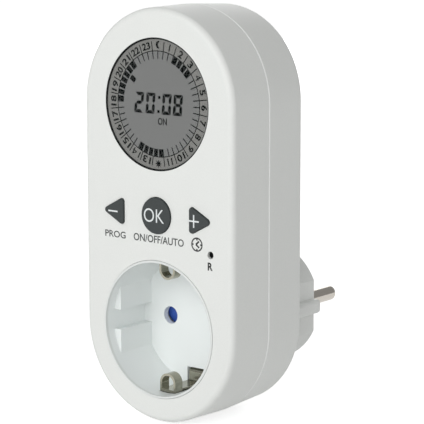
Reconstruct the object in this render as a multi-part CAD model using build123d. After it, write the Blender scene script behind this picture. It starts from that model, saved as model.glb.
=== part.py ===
from build123d import *

import math
import os

# A plug in timer switch for Type F mains sockets: sizes in millimetres, angles in degrees.
# The origin is the centre of the plug's face, on the axis that the plug and the socket share.
# The pins point along +y, the front faces -y, z is up and x is to the right as seen from the front.
# A depth is counted from the casing's front face towards the back. A height is a z value.

# Casing: two shells that meet at the parting line, with two round ends.
# Its outside follows from what it holds, at the end of this list of sizes.
front_shell_depth = 16.5
wall = 2.2
front_edge_radius = 1.9
rear_edge_radius = 2.2
front_draft = 1.5
rear_draft = 2.5
parting_bevel = 0.3

# Locating lip of the rear housing, and the catch at the bottom
lip_height = 1.2
lip_thickness = 0.9
lip_clearance = 0.12
tongue_width = 8.0
tongue_thickness = 1.2
tongue_length = 4.0
tongue_root = 6.0
tongue_clearance = 0.3
catch_height = 0.7
catch_length = 1.5
catch_clearance = 0.2

# Housing screws, driven from the back through pillars
pillar_radius = 2.5
pillar_gap = 0.4
pillar_inset = 2.7
pillar_web = 1.2
rear_pillar_radius = 3.3
middle_pillar_height = 18.3
upper_pillar_angle = 45.0
housing_screw_radius = 1.1
housing_screw_head_radius = 1.9
housing_screw_head_height = 1.5
housing_screw_seat = 10.0
housing_screw_grip = 8.0
counterbore_clearance = 0.2
screw_clearance = 0.2
thread_clearance = 0.04

# Plug turret: a separate moulding that the rear housing holds by a flange inside
turret_height = 21.5
turret_flat_inset = 1.8
turret_wall = 1.8
turret_face_wall = 2.6
turret_edge_radius = 0.9
turret_clearance = 0.1
turret_flange = 1.6
strip_notch_clearance = 0.5
guide_bar_height = 0.6
guide_bar_width = 4.3
guide_bar_corner = 1.2
earth_channel_width = 7.0
earth_channel_depth = 3.1
earth_channel_back = 2.1

# Plug pins, riveted to their strips inside
pin_spacing = 19.0
pin_radius = 2.4
pin_length = 19.0
pin_tip_radius = 1.7
pin_seat_clearance = 0.02
pin_collar_radius = 3.6
pin_collar_length = 1.5
pin_shank_length = 3.4
pin_neck_radius = 2.2
pin_neck_reach = 0.3
pin_recess_gap = 0.2
pin_recess_depth = 0.4
rivet_radius = 1.4
rivet_length = 1.4

# Socket well: a separate insert with a lip round its mouth
well_radius = 19.75
well_depth = 17.5
well_wall = 1.65
well_floor = 2.0
collar_wall = 0.65
collar_proud = 0.3
collar_edge_radius = 0.25
collar_clearance = 0.1
well_flat_inset = 2.75
well_flat_start = 3.4
guide_groove_width = 6.0
entry_radius = 2.65
earth_slot_width = 6.2
earth_slot_clearance = 0.4

# Display
window_radius = 19.0
window_thickness = 0.8
window_clearance = 0.1
lcd_thickness = 2.2
lcd_step = 1.1
lcd_clearance = 0.15
lcd_ledge_height = 13.6
frame_wall = 1.3
frame_ledge = 1.85
frame_clearance = 0.05
board_stand_off = 5.0
zebra_length = 20.0
zebra_thickness = 1.8
zebra_height = 14.9
zebra_clearance = 0.1

# Keys between the well and the display, and the switches under them
key_field = 24.0
key_row_gap = 12.2
key_proud = 0.7
key_travel = 0.5
key_clearance = 0.15
key_flange = 1.1
key_flange_thickness = 1.35
key_play = 0.1
key_edge_radius = 0.35
ok_key_radius = 5.3
arrow_base = 12.3
arrow_length = 8.1
arrow_height = 8.6
arrow_corner_radius = 0.9
switch_size = 6.0
switch_height = 3.4
plunger_radius = 1.7
plunger_clearance = 0.05
plunger_hold = 1.4
plunger_overtravel = 0.1

# Reset pinhole, plunger and switch
reset_inset = 6.1
reset_height = 24.3
reset_hole_radius = 1.08
reset_switch_size = 4.5
reset_switch_height = 2.4
reset_plunger_radius = 0.9
reset_plunger_gap = 1.4
reset_plunger_hold = 0.8
reset_travel = 0.25

# Control board, its posts and the parts on it
board_thickness = 1.6
board_edge_gap = 1.1
board_cut_gap = 0.4
control_board_bottom = 21.8
control_post_radius = 2.2
side_post_inset = 4.0
side_post_height = 45.0
low_post_x = 9.3
low_post_height = 26.0
board_screw_radius = 0.8
board_screw_head_radius = 1.7
board_screw_head_height = 1.2
board_screw_grip = 3.5
chip_radius = 5.0
chip_height = 1.2
chip_edge_radius = 1.1
chip_x = 10.0
chip_z = 62.0
crystal_radius = 1.0
crystal_length = 6.0
crystal_x = 10.0
crystal_z = 53.0
battery_radius = 5.75
battery_thickness = 5.4
battery_x = -10.0
battery_z = 64.0
battery_tab_thickness = 0.3
battery_tab_width = 4.0
battery_tab_foot = 2.5

# Power board, its posts and the parts on it
power_board_gap = 2.5
power_board_bottom = 24.5
power_post_radius = 2.4
power_post_length = 2.7
power_post_inset = 5.2
power_post_height = 30.0
top_post_inset = 4.9
power_screw_grip = 2.2
relay_size = (19.0, 15.4, 15.3)
relay_x = -10.5
relay_z = 41.0
relay_corner_radius = 0.8
film_capacitor_size = (17.5, 8.5, 14.0)
film_capacitor_x = 11.0
film_capacitor_z = 37.0
film_capacitor_corner_radius = 0.6
smoothing_radius = 4.0
smoothing_length = 12.0
smoothing_x = 8.0
smoothing_z = 49.0
varistor_radius = 5.0
varistor_thickness = 4.0
varistor_x = -10.0
varistor_z = 56.0
resistor_radius = 2.2
resistor_length = 11.0
resistor_x = 8.0
resistor_z = 60.0
resistor_stand_off = 0.6
lead_radius = 0.35
lead_overhang = 1.6
diode_radius = 1.35
diode_length = 5.0
diode_count = 4
diode_pitch = 4.2
diode_x = -10.0
diode_z = 66.0
transistor_radius = 2.4
transistor_height = 4.6
transistor_flat = 1.3
transistor_stand_off = 2.0
transistor_x = 8.0
transistor_z = 67.0
connector_pins = 6
connector_pin_spacing = 2.54
connector_pin_width = 0.64
connector_body_height = 2.5
connector_rise = 10.4

# Contacts behind the well
carrier_inset = 2.8
carrier_gap = 3.5
carrier_thickness = 2.0
carrier_screw_inset = 2.5
carrier_screw_angle = 47.5
carrier_boss_radius = 2.4
carrier_screw_head_radius = 1.9
tower_inner_radius = 3.6
tower_wall = 1.2
tower_length = 11.0
tower_mouth_width = 4.8
tower_clearance = 0.5
chamber_clearance = 0.7
chamber_wall = 1.9
chamber_mouth_width = 30.0
contact_radius = 2.45
contact_wall = 0.8
contact_start = 0.4
contact_slit = 1.0
strip_thickness = 0.8
strip_width = 4.0
input_strip_clearance = 0.37
input_strip_gap = 1.3
strip_top = 27.5
solder_tab_height = 1.2

# Earth parts
earth_strip_width = 5.0
earth_step_height = 3.6
earth_face_gap = 0.5
earth_arm_inset = 0.55
earth_bend_radius = 0.9
bow_start = 4.5
bow_width = 3.3
bow_radius = 2.9
bow_apex = 14.0
bow_thickness = 0.7
earth_arm_clearance = 0.3
clip_width = 6.0
clip_rise = 0.9
clip_foot = 3.6
clip_straight = 2.0
clip_crest = 10.0
clip_crest_rise = 2.3
clip_end_gap = 4.0
clip_end_rise = 0.7

# Child shutter on the carrier's post
shutter_gap = 0.3
shutter_thickness = 2.8
shutter_pad_radius = 3.4
shutter_arm_width = 5.0
shutter_hub_radius = 4.6
shutter_ramp = 1.5
post_radius = 1.5
post_clearance = 0.06
post_front_gap = 0.7
spring_recess_radius = 3.7
spring_recess_depth = 1.7
spring_radius = 2.8
spring_wire = 0.2
spring_turns = 2.75

# Display and casing outline, from the display's window outwards
opening_radius = window_radius + window_clearance
lcd_radius = window_radius - lcd_clearance
frame_radius = lcd_radius + frame_clearance + frame_wall
pillar_reach = frame_radius + pillar_gap + pillar_radius
inner_half = pillar_reach + pillar_inset
half_width = inner_half + wall
collar_radius = well_radius + collar_wall
cup_radius = well_radius + well_wall
display_height = cup_radius + key_field + frame_radius
end_spacing = display_height

# Depths, from the front face through the well and the boards to the plug's face
lcd_back = window_thickness + lcd_thickness
control_board_depth = lcd_back + board_stand_off
control_board_back = control_board_depth + board_thickness
cup_back = well_depth + well_floor
shutter_front = cup_back + shutter_gap
carrier_depth = cup_back + carrier_gap
carrier_back = carrier_depth + carrier_thickness
power_board_depth = carrier_back + power_board_gap
power_board_back = power_board_depth + board_thickness
rear_wall_depth = power_board_back + power_post_length
casing_depth = rear_wall_depth + wall
face_depth = casing_depth + turret_height
front_y = -face_depth
strip_plate_depth = face_depth - turret_face_wall - pin_collar_length - pin_shank_length

# Keys and reset
key_row = cup_radius + key_row_gap
key_back = wall + key_play + key_flange_thickness
arrow_centre = arrow_base + arrow_length / 3
reset_x = inner_half - reset_inset
reset_plunger_front = wall + reset_plunger_gap

# Posts, and the connector between the boards
side_post_x = inner_half - side_post_inset
power_post_x = inner_half - power_post_inset
top_post_height = display_height + inner_half - top_post_inset
connector_z = display_height + connector_rise

# Plug and contacts
pin_x = pin_spacing / 2
turret_flat = pin_x + tower_inner_radius + tower_wall + tower_clearance + turret_wall
turret_radius = turret_flat + turret_flat_inset
turret_inner = turret_radius - turret_wall
input_strip_room = math.sqrt(turret_inner ** 2 - (pin_x + strip_width / 2) ** 2)
input_strip_height = input_strip_room - strip_thickness / 2 - input_strip_clearance
guide_bar_reach = turret_radius + guide_bar_height
earth_channel_floor = turret_radius - earth_channel_depth
well_flat = well_radius - well_flat_inset
carrier_radius = cup_radius - carrier_inset
earth_slot_start = bow_start - earth_arm_clearance
earth_face_depth = well_depth + earth_face_gap
earth_arm_reach = well_radius - earth_arm_inset
earth_arm_height = earth_arm_reach - earth_step_height
earth_slot_reach = earth_arm_height - strip_thickness / 2 - earth_slot_clearance
clip_height = earth_channel_floor + clip_rise


def at_depth(depth):
    """A drawing plane at a depth, looked at from the front: drawing x is x, drawing y is z."""
    return Plane(origin=(0, front_y + depth, 0), x_dir=(1, 0, 0), z_dir=(0, -1, 0))


def slab(outline, near, far):
    """An outline, drawn as seen from the front, filled from one depth to a larger one."""
    return extrude(at_depth(far) * outline, amount=far - near)


def disc(radius, near, far, x=0.0, z=0.0):
    """A round solid along y between two depths."""
    return slab(Pos(x, z) * Circle(radius), near, far)


def ring(outer, inner, near, far, x=0.0, z=0.0):
    """A tube along y between two depths."""
    return disc(outer, near, far, x, z) - disc(inner, near, far, x, z)


def patch(left, right, bottom, top):
    """A rectangle as seen from the front."""
    return Pos((left + right) / 2, (bottom + top) / 2) * Rectangle(right - left, top - bottom)


def block(left, right, bottom, top, near, far):
    """A box between two depths."""
    return slab(patch(left, right, bottom, top), near, far)


def stadium(half):
    """The casing's outline at a half width: round ends about the socket and the display."""
    return Pos(0, end_spacing / 2) * SlotCenterToCenter(end_spacing, 2 * half, rotation=90)


def bent_strip(points, thickness, width, x=0.0):
    """Sheet metal bent along points given as (depth, height), with its width along x."""
    places = [(front_y + depth, height) for depth, height in points]
    path = FilletPolyline(*places, radius=earth_bend_radius)
    profile = Plane.YZ * trace(path, line_width=thickness)
    return Pos(x, 0, 0) * extrude(profile, amount=width / 2, both=True)


def front_face_edges(part):
    """The edges of the face that lies furthest to the front."""
    return part.faces().sort_by(Axis.Y)[0].edges()


def rear_face_edges(part):
    """The edges of the face that lies furthest to the back."""
    return part.faces().sort_by(Axis.Y)[-1].edges()


def upside_down(part):
    """The same part on the other side of the plug's axis, top for bottom."""
    return mirror(part, about=Plane.XY)


def other_side(part):
    """The same part on the other side, left for right."""
    return mirror(part, about=Plane.YZ)


def pillar_places():
    """Where the four housing screws stand, as (x, z)."""
    reach_x = pillar_reach * math.sin(math.radians(upper_pillar_angle))
    reach_z = pillar_reach * math.cos(math.radians(upper_pillar_angle))
    upper = [(side * reach_x, display_height + reach_z) for side in (-1, 1)]
    middle = [(side * pillar_reach, middle_pillar_height) for side in (-1, 1)]
    return upper + middle


def control_post_places():
    """Where the control board's four screws stand, as (x, z)."""
    sides = [(side * side_post_x, side_post_height) for side in (-1, 1)]
    low = [(side * low_post_x, low_post_height) for side in (-1, 1)]
    return sides + low


def power_post_places():
    """Where the power board's three screws stand, as (x, z)."""
    return [(-power_post_x, power_post_height), (power_post_x, power_post_height), (0, top_post_height)]


def carrier_screw_places():
    """Where the contact carrier's two screws stand, as (x, z)."""
    reach = carrier_radius - carrier_screw_inset
    x = reach * math.cos(math.radians(carrier_screw_angle))
    z = reach * math.sin(math.radians(carrier_screw_angle))
    return [(x, z), (-x, -z)]


def arrow_outline(side):
    """A rounded triangle that points away from the middle, to the right for side = 1."""
    tip = (side * (arrow_base + arrow_length), key_row)
    upper = (side * arrow_base, key_row + arrow_height / 2)
    lower = (side * arrow_base, key_row - arrow_height / 2)
    corners = make_face(Polyline(tip, upper, lower, close=True).edges())
    return fillet(corners.vertices(), arrow_corner_radius)


def ok_outline():
    """The round middle key."""
    return Pos(0, key_row) * Circle(ok_key_radius)


def key_outlines():
    """The outline of each key by its name."""
    return {"minus": arrow_outline(-1), "ok": ok_outline(), "plus": arrow_outline(1)}


def key_centres():
    """The x of the switch under each key."""
    return {"minus": -arrow_centre, "ok": 0.0, "plus": arrow_centre}


# Casing

def pillar_outline(x, z):
    """A screw pillar with the web that ties it to the side wall."""
    nearest_centre = min(max(z, 0), end_spacing)
    outward = math.degrees(math.atan2(z - nearest_centre, x))
    web_length = pillar_inset + wall / 2
    web = Pos(web_length / 2, 0) * Rectangle(web_length, pillar_web)
    return Pos(x, z) * (Circle(pillar_radius) + Rot(0, 0, outward) * web)


def front_form(inset, nearest):
    """The front shell's drafted form, shrunk by an inset, from the parting line to a depth."""
    outline = at_depth(front_shell_depth) * stadium(half_width - inset)
    return extrude(outline, amount=front_shell_depth - nearest, taper=front_draft)


def rear_form(inset, farthest):
    """The rear shell's drafted form, shrunk by an inset, from the parting line to a depth."""
    plane = Plane(origin=(0, front_y + front_shell_depth, 0), x_dir=(-1, 0, 0), z_dir=(0, 1, 0))
    outline = plane * stadium(half_width - inset)
    return extrude(outline, amount=farthest - front_shell_depth, taper=rear_draft)


def make_front_cover():
    """The front shell, with its openings, screw pillars, board posts and bottom tongue."""
    shell = front_form(0, 0)
    shell = fillet(front_face_edges(shell), front_edge_radius)
    shell = chamfer(rear_face_edges(shell), parting_bevel)
    shell -= front_form(wall, wall)
    for x, z in pillar_places():
        shell += slab(pillar_outline(x, z), wall, front_shell_depth)
        core = housing_screw_radius + thread_clearance
        shell -= disc(core, front_shell_depth - housing_screw_grip - wall, front_shell_depth, x, z)
    for x, z in control_post_places():
        shell += disc(control_post_radius, wall, control_board_depth, x, z)
        core = board_screw_radius + thread_clearance
        shell -= disc(core, wall, control_board_depth, x, z)
    shell += make_tongue()
    shell -= disc(opening_radius, 0, wall, 0, display_height)
    shell -= disc(collar_radius + collar_clearance, 0, wall)
    for outline in key_outlines().values():
        shell -= slab(offset(outline, amount=key_clearance), 0, wall)
    shell -= disc(reset_hole_radius, 0, wall, reset_x, reset_height)
    return shell


def tongue_outline(outer, inner, clearance):
    """A curved strip at the bottom of the casing, between two half widths."""
    side = tongue_width / 2 + clearance
    return (stadium(outer) - stadium(inner)) & patch(-side, side, -half_width, 0)


def make_tongue():
    """The tongue at the bottom, whose bead snaps behind the rear housing's wall."""
    reach = inner_half - tongue_clearance
    inner = reach - tongue_thickness
    end = front_shell_depth + tongue_length
    root = slab(tongue_outline(inner_half + wall / 2, inner, 0), front_shell_depth - tongue_root,
                front_shell_depth - parting_bevel)
    tongue = slab(tongue_outline(reach, inner, 0), front_shell_depth - tongue_root, end)
    bead = slab(tongue_outline(reach + catch_height, inner, 0), end - catch_length, end)
    return root + tongue + bead


def make_rear_housing():
    """The rear shell with its pillars, board posts, lip and the opening that the turret comes through."""
    shell = rear_form(0, casing_depth)
    shell = fillet(rear_face_edges(shell), rear_edge_radius)
    shell = chamfer(front_face_edges(shell), parting_bevel)
    shell -= rear_form(wall, rear_wall_depth)
    for x, z in pillar_places():
        shell += disc(rear_pillar_radius, front_shell_depth, rear_wall_depth + wall / 2, x, z)
    for x, z in power_post_places():
        shell += disc(power_post_radius, power_board_back, rear_wall_depth, x, z)
        core = board_screw_radius + thread_clearance
        shell -= disc(core, power_board_back, rear_wall_depth, x, z)
    shell += make_lip()
    for x, z in pillar_places():
        seat = casing_depth - housing_screw_seat
        shell -= disc(housing_screw_radius + screw_clearance, front_shell_depth, seat, x, z)
        counterbore = housing_screw_head_radius + counterbore_clearance
        shell -= disc(counterbore, seat, casing_depth, x, z)
    shell -= slab(turret_outline(turret_clearance), rear_wall_depth, casing_depth)
    return shell - catch_pocket()


def make_lip():
    """The rim inside the parting line that keeps the two shells in line."""
    outer = inner_half - lip_clearance
    inner = outer - lip_thickness
    rim = slab(stadium(outer) - stadium(inner), front_shell_depth - lip_height, front_shell_depth)
    foot = slab(stadium(inner_half + wall / 2) - stadium(inner), front_shell_depth + parting_bevel,
                front_shell_depth + lip_height)
    foot += slab(stadium(outer) - stadium(inner), front_shell_depth, front_shell_depth + lip_height)
    for x, z in pillar_places():
        rim -= disc(pillar_radius + board_cut_gap, front_shell_depth - lip_height, front_shell_depth, x, z)
    gap = tongue_width / 2 + tongue_clearance
    notch = block(-gap, gap, -inner_half, tongue_thickness * 2 - inner_half, front_shell_depth - lip_height,
                  front_shell_depth + lip_height)
    return rim + foot - notch


def catch_pocket():
    """The pocket in the rear shell's bottom wall that the tongue's bead snaps into."""
    reach = inner_half - tongue_clearance
    end = front_shell_depth + tongue_length
    outline = tongue_outline(reach + catch_height + catch_clearance, reach - tongue_thickness, tongue_clearance)
    return slab(outline, end - catch_length - catch_clearance, end + catch_clearance)


# Plug turret

def turret_outline(clearance=0.0):
    """The plug's outline: a circle with flat sides, and a guide bar on each flat."""
    body = Circle(turret_radius + clearance) & Rectangle(2 * (turret_flat + clearance), 3 * turret_radius)
    bars = RectangleRounded(2 * (guide_bar_reach + clearance), guide_bar_width + 2 * clearance,
                            guide_bar_corner + clearance)
    return body + bars


def make_plug_turret():
    """The plug's body: turret, inner flange, and the wall that clamps the socket insert."""
    flange_front = rear_wall_depth - turret_flange
    turret = slab(turret_outline(), flange_front, face_depth)
    turret = fillet(rear_face_edges(turret), turret_edge_radius)
    inner = carrier_radius + chamber_clearance
    turret += disc(inner + chamber_wall, flange_front, rear_wall_depth)
    mouth = chamber_mouth_width / 2
    chamber = ring(inner + chamber_wall, inner, cup_back, rear_wall_depth)
    turret += chamber - block(-mouth, mouth, 0, cup_radius, cup_back, flange_front)
    turret -= turret_hollow()
    turret -= earth_channel() + upside_down(earth_channel())
    for side in (-1, 1):
        turret -= strip_notch(side)
        turret -= disc(pin_neck_radius + pin_seat_clearance, face_depth - turret_face_wall, face_depth,
                       side * pin_x)
        turret -= disc(pin_radius + pin_recess_gap, face_depth - pin_recess_depth, face_depth, side * pin_x)
    return turret


def turret_hollow():
    """The hollow inside the turret, between the pins' face wall and the flange."""
    side = turret_flat - turret_wall
    top = earth_channel_floor - earth_channel_back
    outline = Circle(turret_inner) & Rectangle(2 * side, 2 * top)
    return slab(outline, rear_wall_depth - turret_flange, face_depth - turret_face_wall)


def strip_notch(side):
    """The notch in the flange that an input strip passes through."""
    reach = strip_width / 2 + strip_notch_clearance
    x = side * pin_x
    bottom = input_strip_height - strip_thickness
    return block(x - reach, x + reach, bottom, cup_radius, rear_wall_depth - turret_flange, rear_wall_depth)


def earth_channel():
    """The upper channel of the plug's earth clip, and the slot that leads it through the flange."""
    side = earth_channel_width / 2
    channel = block(-side, side, earth_channel_floor, turret_radius + wall, casing_depth, face_depth)
    slot_side = clip_width / 2 + earth_arm_clearance
    slot_low = clip_height - strip_thickness / 2 - earth_arm_clearance
    slot_high = clip_height + strip_thickness / 2 + earth_arm_clearance
    slot = block(-slot_side, slot_side, slot_low, slot_high, rear_wall_depth - turret_flange, casing_depth)
    return channel + slot


# Socket insert and display

def well_flats():
    """The two flat sides of the well, each split by a guide groove."""
    round_well = Circle(well_radius)
    reach = well_radius + well_wall
    flats = round_well & (patch(well_flat, reach, -reach, reach) + patch(-reach, -well_flat, -reach, reach))
    groove = patch(-reach, reach, -guide_groove_width / 2, guide_groove_width / 2)
    return slab(flats - groove, well_flat_start, well_depth)


def make_socket_insert():
    """The socket well: collar, cup, flats, floor with two pin entries, earth slots and bosses."""
    collar = disc(collar_radius, -collar_proud, wall)
    collar = fillet(front_face_edges(collar), collar_edge_radius)
    cup = collar + disc(cup_radius, wall, cup_back)
    for x, z in carrier_screw_places():
        cup += disc(carrier_boss_radius, cup_back, carrier_depth, x, z)
        core = board_screw_radius + thread_clearance
        cup -= disc(core, cup_back, carrier_depth, x, z)
    well = disc(well_radius, -collar_proud, well_depth) - well_flats()
    cup -= well
    for side in (-1, 1):
        cup -= disc(entry_radius, well_depth, cup_back, side * pin_x)
    slot_side = earth_slot_width / 2
    slot = block(-slot_side, slot_side, earth_slot_reach, cup_radius, earth_slot_start, cup_back)
    return cup - slot - upside_down(slot)


def make_display_window():
    """The clear lens, flush with the casing's front face."""
    return disc(window_radius, 0, window_thickness, 0, display_height)


def make_lcd_panel():
    """Two round glass plates, the rear one cut short above and below to bare the contact ledges."""
    seam = window_thickness + lcd_step
    plate = disc(lcd_radius, window_thickness, seam, 0, display_height)
    ledges = patch(-half_width, half_width, display_height - lcd_ledge_height, display_height + lcd_ledge_height)
    rear_plate = slab((Pos(0, display_height) * Circle(lcd_radius)) & ledges, seam, lcd_back)
    return plate + rear_plate


def zebra_outline(side, clearance):
    """One elastomer connector, above the display's middle for side = 1, below it for -1."""
    middle = display_height + side * zebra_height
    half_length = zebra_length / 2 + clearance
    half_thickness = zebra_thickness / 2 + clearance
    return patch(-half_length, half_length, middle - half_thickness, middle + half_thickness)


def make_lcd_frame():
    """The ring between the casing and the control board that holds the glass."""
    inner = lcd_radius - frame_ledge
    frame = ring(frame_radius, inner, wall, control_board_depth, 0, display_height)
    frame -= disc(lcd_radius + frame_clearance, wall, lcd_back, 0, display_height)
    for side in (-1, 1):
        frame -= slab(zebra_outline(side, zebra_clearance), wall, control_board_depth)
    return frame


def make_zebra_strips():
    """The two elastomer connectors between the glass and the control board."""
    start = window_thickness + lcd_step
    return [slab(zebra_outline(side, 0), start, control_board_depth) for side in (-1, 1)]


# Keys and switches

def make_key(outline):
    """A key cap that stands proud of the front, with a flange that keeps it in."""
    flange_front = wall + key_play
    cap = slab(outline, -key_proud, flange_front)
    cap = fillet(front_face_edges(cap), key_edge_radius)
    return cap + slab(offset(outline, amount=key_flange), flange_front, key_back)


def make_plunger(x):
    """The plunger of a key's switch."""
    front = control_board_depth - switch_height
    return disc(plunger_radius, key_back, front + plunger_hold, x, key_row)


def make_switch(x):
    """A key's switch body, with the bore that its plunger travels in."""
    front = control_board_depth - switch_height
    half = switch_size / 2
    body = block(x - half, x + half, key_row - half, key_row + half, front, control_board_depth)
    bottom = front + plunger_hold + key_travel + plunger_overtravel
    return body - disc(plunger_radius + plunger_clearance, front, bottom, x, key_row)


def make_reset_plunger():
    """The plunger behind the reset pinhole."""
    back = control_board_depth - reset_switch_height + reset_plunger_hold
    return disc(reset_plunger_radius, reset_plunger_front, back, reset_x, reset_height)


def make_reset_switch():
    """The reset switch's body."""
    front = control_board_depth - reset_switch_height
    half = reset_switch_size / 2
    body = block(reset_x - half, reset_x + half, reset_height - half, reset_height + half, front,
                 control_board_depth)
    bottom = front + reset_plunger_hold + reset_travel + plunger_overtravel
    return body - disc(reset_plunger_radius + plunger_clearance, front, bottom, reset_x, reset_height)


# Control board

def board_outline(half, bottom, pillar):
    """A board with the casing's round top, cut round the pillars."""
    outline = stadium(half) & patch(-half_width, half_width, bottom, display_height + half_width)
    for x, z in pillar_places():
        outline -= Pos(x, z) * Circle(pillar + board_cut_gap)
    return outline


def make_control_board():
    """The board that carries the display, the keys' switches and the clock."""
    outline = board_outline(inner_half - board_edge_gap, control_board_bottom, pillar_radius)
    for x, z in control_post_places():
        outline -= Pos(x, z) * Circle(board_screw_radius + screw_clearance)
    return slab(outline, control_board_depth, control_board_back)


def screw(head_radius, head_height, shank_radius, seat, tip, x, z):
    """A round-headed screw with its head's seat at one depth and its tip at another."""
    way = math.copysign(1, seat - tip)
    head_top = seat + way * head_height
    head = disc(head_radius, min(seat, head_top), max(seat, head_top), x, z)
    return head + disc(shank_radius, min(seat, tip), max(seat, tip), x, z)


def make_control_board_screws():
    """The screws that hold the control board to the front cover's posts."""
    tip = control_board_depth - board_screw_grip
    return [screw(board_screw_head_radius, board_screw_head_height, board_screw_radius, control_board_back,
                  tip, x, z) for x, z in control_post_places()]


def make_clock_chip():
    """The clock's chip under its black resin dome."""
    dome = disc(chip_radius, control_board_back, control_board_back + chip_height, chip_x, chip_z)
    return fillet(rear_face_edges(dome), chip_edge_radius)


def make_clock_crystal():
    """The quartz crystal in its can, lying on the control board."""
    can = Cylinder(crystal_radius, crystal_length, rotation=(0, 90, 0))
    return Pos(crystal_x, front_y + control_board_back + crystal_radius, crystal_z) * can


def make_backup_battery():
    """The button cell that keeps the clock going when it is unplugged."""
    near = control_board_back + battery_tab_thickness
    return disc(battery_radius, near, near + battery_thickness, battery_x, battery_z)


def make_battery_tabs():
    """The two tabs that hold the cell: one under it, one over it and down to the board."""
    half = battery_tab_width / 2
    near = control_board_back
    far = near + battery_tab_thickness
    reach = battery_radius + battery_tab_foot
    under = block(battery_x - half, battery_x + half, battery_z - reach, battery_z, near, far)
    top = far + battery_thickness
    edge = battery_z + battery_radius + battery_tab_thickness
    over = block(battery_x - half, battery_x + half, battery_z, edge, top, top + battery_tab_thickness)
    leg = block(battery_x - half, battery_x + half, edge, edge + battery_tab_thickness, near,
                top + battery_tab_thickness)
    foot = block(battery_x - half, battery_x + half, edge, battery_z + reach, near, far)
    return [under, over + leg + foot]


def make_board_connector():
    """The row of pins that joins the two boards, in its insulating body."""
    length = connector_pins * connector_pin_spacing
    half = connector_body_height / 2
    body = block(-length / 2, length / 2, connector_z - half, connector_z + half, control_board_back,
                 control_board_back + connector_body_height)
    pin_half = connector_pin_width / 2
    for index in range(connector_pins):
        x = (index + 0.5) * connector_pin_spacing - length / 2
        body += block(x - pin_half, x + pin_half, connector_z - pin_half, connector_z + pin_half,
                      control_board_back, power_board_depth)
    return body


# Power board

def make_power_board():
    """The board that carries the relay and the supply."""
    outline = board_outline(inner_half - board_edge_gap, power_board_bottom, rear_pillar_radius)
    for x, z in power_post_places():
        outline -= Pos(x, z) * Circle(board_screw_radius + screw_clearance)
    return slab(outline, power_board_depth, power_board_back)


def make_power_board_screws():
    """The screws that hold the power board to the rear housing's posts."""
    tip = power_board_back + power_screw_grip
    return [screw(board_screw_head_radius, board_screw_head_height, board_screw_radius, power_board_depth,
                  tip, x, z) for x, z in power_post_places()]


def boxed_component(size, x, z, corner_radius):
    """A moulded component that stands on the power board, with rounded upright edges."""
    width, height, rise = size
    outline = Pos(x, z) * RectangleRounded(width, height, corner_radius)
    body = slab(outline, power_board_depth - rise, power_board_depth)
    return chamfer(front_face_edges(body), corner_radius / 2)


def make_relay():
    """The relay that switches the socket."""
    return boxed_component(relay_size, relay_x, relay_z, relay_corner_radius)


def make_suppression_capacitor():
    """The film capacitor across the mains."""
    return boxed_component(film_capacitor_size, film_capacitor_x, film_capacitor_z,
                           film_capacitor_corner_radius)


def make_smoothing_capacitor():
    """The upright electrolytic capacitor, with its crimped bead."""
    can = disc(smoothing_radius, power_board_depth - smoothing_length, power_board_depth, smoothing_x,
               smoothing_z)
    bead = Torus(smoothing_radius + 2 * lead_radius, lead_radius * 2, rotation=(90, 0, 0))
    bead_depth = power_board_depth - smoothing_length / 5
    can -= Pos(smoothing_x, front_y + bead_depth, smoothing_z) * bead
    return fillet(front_face_edges(can), lead_radius)


def make_varistor():
    """The disc that takes up surges, standing on edge."""
    body = Cylinder(varistor_radius, varistor_thickness, rotation=(0, 0, 0))
    body = fillet(body.edges(), varistor_thickness / 4)
    middle = power_board_depth - varistor_radius - resistor_stand_off
    disc_part = Pos(varistor_x, front_y + middle, varistor_z) * body
    for side in (-1, 1):
        disc_part += disc(lead_radius, middle, power_board_depth, varistor_x + side * varistor_radius / 2,
                          varistor_z)
    return disc_part


def axial_component(radius, length, x, z):
    """A round body lying along x over the power board on two bent leads."""
    middle = front_y + power_board_depth - radius - resistor_stand_off
    board = front_y + power_board_depth
    body = Cylinder(radius, length, rotation=(0, 90, 0))
    part = Pos(x, middle, z) * fillet(body.edges(), radius / 3)
    reach = length / 2 + lead_overhang
    places = [(x - reach, board, z), (x - reach, middle, z), (x + reach, middle, z), (x + reach, board, z)]
    path = FilletPolyline(*places, radius=2 * lead_radius)
    section = Plane(path @ 0, z_dir=path % 0) * Circle(lead_radius)
    return part + sweep(section, path=path)


def make_dropper_resistor():
    """The resistor in the capacitive supply."""
    return axial_component(resistor_radius, resistor_length, resistor_x, resistor_z)


def make_rectifier_diodes():
    """The rectifier's four diodes, side by side."""
    return [axial_component(diode_radius, diode_length, diode_x, diode_z + index * diode_pitch)
            for index in range(diode_count)]


def make_driver_transistor():
    """The transistor that drives the relay's coil, on three leads."""
    outline = Circle(transistor_radius) & patch(-transistor_radius, transistor_radius, -transistor_flat,
                                                transistor_radius)
    far = power_board_depth - transistor_stand_off
    part = slab(Pos(transistor_x, transistor_z) * outline, far - transistor_height, far)
    for step in (-1, 0, 1):
        part += disc(lead_radius, far, power_board_depth, transistor_x + step * connector_pin_spacing / 2,
                     transistor_z)
    return part


# Live and neutral parts: each is made on the right and mirrored for the left

def make_plug_pin():
    """A solid round pin with a rounded tip, a neck in the face wall, a collar and a riveted end."""
    neck_end = face_depth + pin_neck_reach
    pin = disc(pin_radius, neck_end, face_depth + pin_length, pin_x)
    pin = fillet(rear_face_edges(pin), pin_tip_radius)
    pin += disc(pin_neck_radius, strip_plate_depth + strip_thickness, neck_end, pin_x)
    collar_back = face_depth - turret_face_wall
    pin += disc(pin_collar_radius, collar_back - pin_collar_length, collar_back, pin_x)
    return pin + disc(rivet_radius, strip_plate_depth - rivet_length + strip_thickness,
                      strip_plate_depth + strip_thickness, pin_x)


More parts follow.
